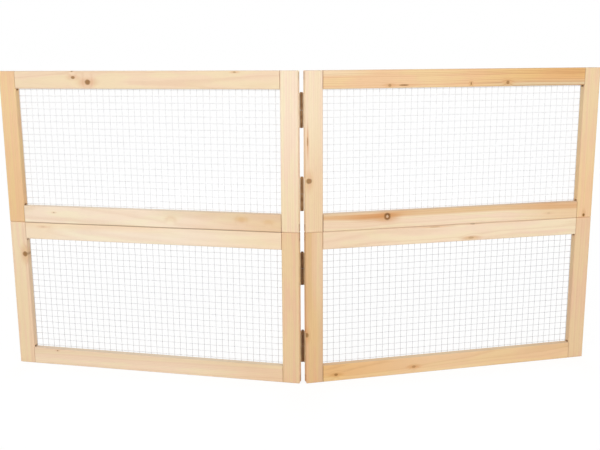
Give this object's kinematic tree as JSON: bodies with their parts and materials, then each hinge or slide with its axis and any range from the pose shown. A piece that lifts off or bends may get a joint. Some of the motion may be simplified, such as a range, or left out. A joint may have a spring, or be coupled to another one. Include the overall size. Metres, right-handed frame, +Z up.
{
  "type": "guinea pig run",
  "caption": "Folding pet run of pine frames with welded wire mesh, hinged side by side and stacked, standing in a shallow V.",
  "frame": {"origin": "on the floor, in the middle of the run as it stands", "axes": "+X along the run to the right as seen in the picture, +Y away from the viewer, into the open side of the V, +Z up"},
  "size_m": [1.1812, 0.1486, 0.6],
  "materials": {
    "pale_pine": "planed, bare",
    "tan_pine": "planed, bare",
    "golden_pine": "planed, bare",
    "beech_dowel": "turned, bare",
    "galvanised_wire": "galvanised",
    "bronzed_steel": "bronze, satin",
    "steel_pin": "bright drawn"
  },
  "bodies": {
    "lower_right": {"lower_right_outer_stile": "pale_pine", "lower_right_hinge_stile": "golden_pine", "lower_right_top_rail": "pale_pine", "lower_right_bottom_rail": "golden_pine", "lower_right_wire_mesh": "galvanised_wire", "lower_right_mesh_staples": "galvanised_wire", "lower_right_hinge_screws": "bronzed_steel", "hinge_3_pin_leaf": "bronzed_steel", "hinge_3_pin": "steel_pin", "hinge_4_pin_leaf": "bronzed_steel", "hinge_4_pin": "steel_pin", "lower_right_stacking_dowels": "beech_dowel"},
    "lower_left": {"lower_left_outer_stile": "pale_pine", "lower_left_hinge_stile": "tan_pine", "lower_left_top_rail": "pale_pine", "lower_left_bottom_rail": "tan_pine", "lower_left_wire_mesh": "galvanised_wire", "lower_left_mesh_staples": "galvanised_wire", "lower_left_hinge_screws": "bronzed_steel", "hinge_3_capped_leaf": "bronzed_steel", "hinge_4_capped_leaf": "bronzed_steel", "lower_left_stacking_dowels": "beech_dowel"},
    "upper_right": {"upper_right_outer_stile": "pale_pine", "upper_right_hinge_stile": "tan_pine", "upper_right_top_rail": "golden_pine", "upper_right_bottom_rail": "pale_pine", "upper_right_wire_mesh": "galvanised_wire", "upper_right_mesh_staples": "galvanised_wire", "upper_right_hinge_screws": "bronzed_steel", "hinge_1_pin_leaf": "bronzed_steel", "hinge_1_pin": "steel_pin", "hinge_2_pin_leaf": "bronzed_steel", "hinge_2_pin": "steel_pin"},
    "upper_left": {"upper_left_outer_stile": "golden_pine", "upper_left_hinge_stile": "pale_pine", "upper_left_top_rail": "pale_pine", "upper_left_bottom_rail": "pale_pine", "upper_left_wire_mesh": "galvanised_wire", "upper_left_mesh_staples": "galvanised_wire", "upper_left_hinge_screws": "bronzed_steel", "hinge_1_capped_leaf": "bronzed_steel", "hinge_2_capped_leaf": "bronzed_steel"}
  },
  "joints": [
    {"name": "fold", "type": "hinge", "parent": "lower_right", "child": "lower_left", "pos_m": [0, -0.05782, 0.15], "axis": [0, 0, -1], "range_deg": [-36, 154]},
    {"name": "lift", "type": "slide", "parent": "lower_right", "child": "upper_right", "axis": [0, 0, 1], "range_m": [0, 0.06]},
    {"name": "upper_fold", "type": "hinge", "parent": "upper_right", "child": "upper_left", "pos_m": [0, -0.05782, 0.45], "axis": [0, 0, -1], "range_deg": [-36, 154]}
  ],
  "couplings": [
    {"joint": "upper_fold", "follows": "fold", "ratio": 1}
  ]
}
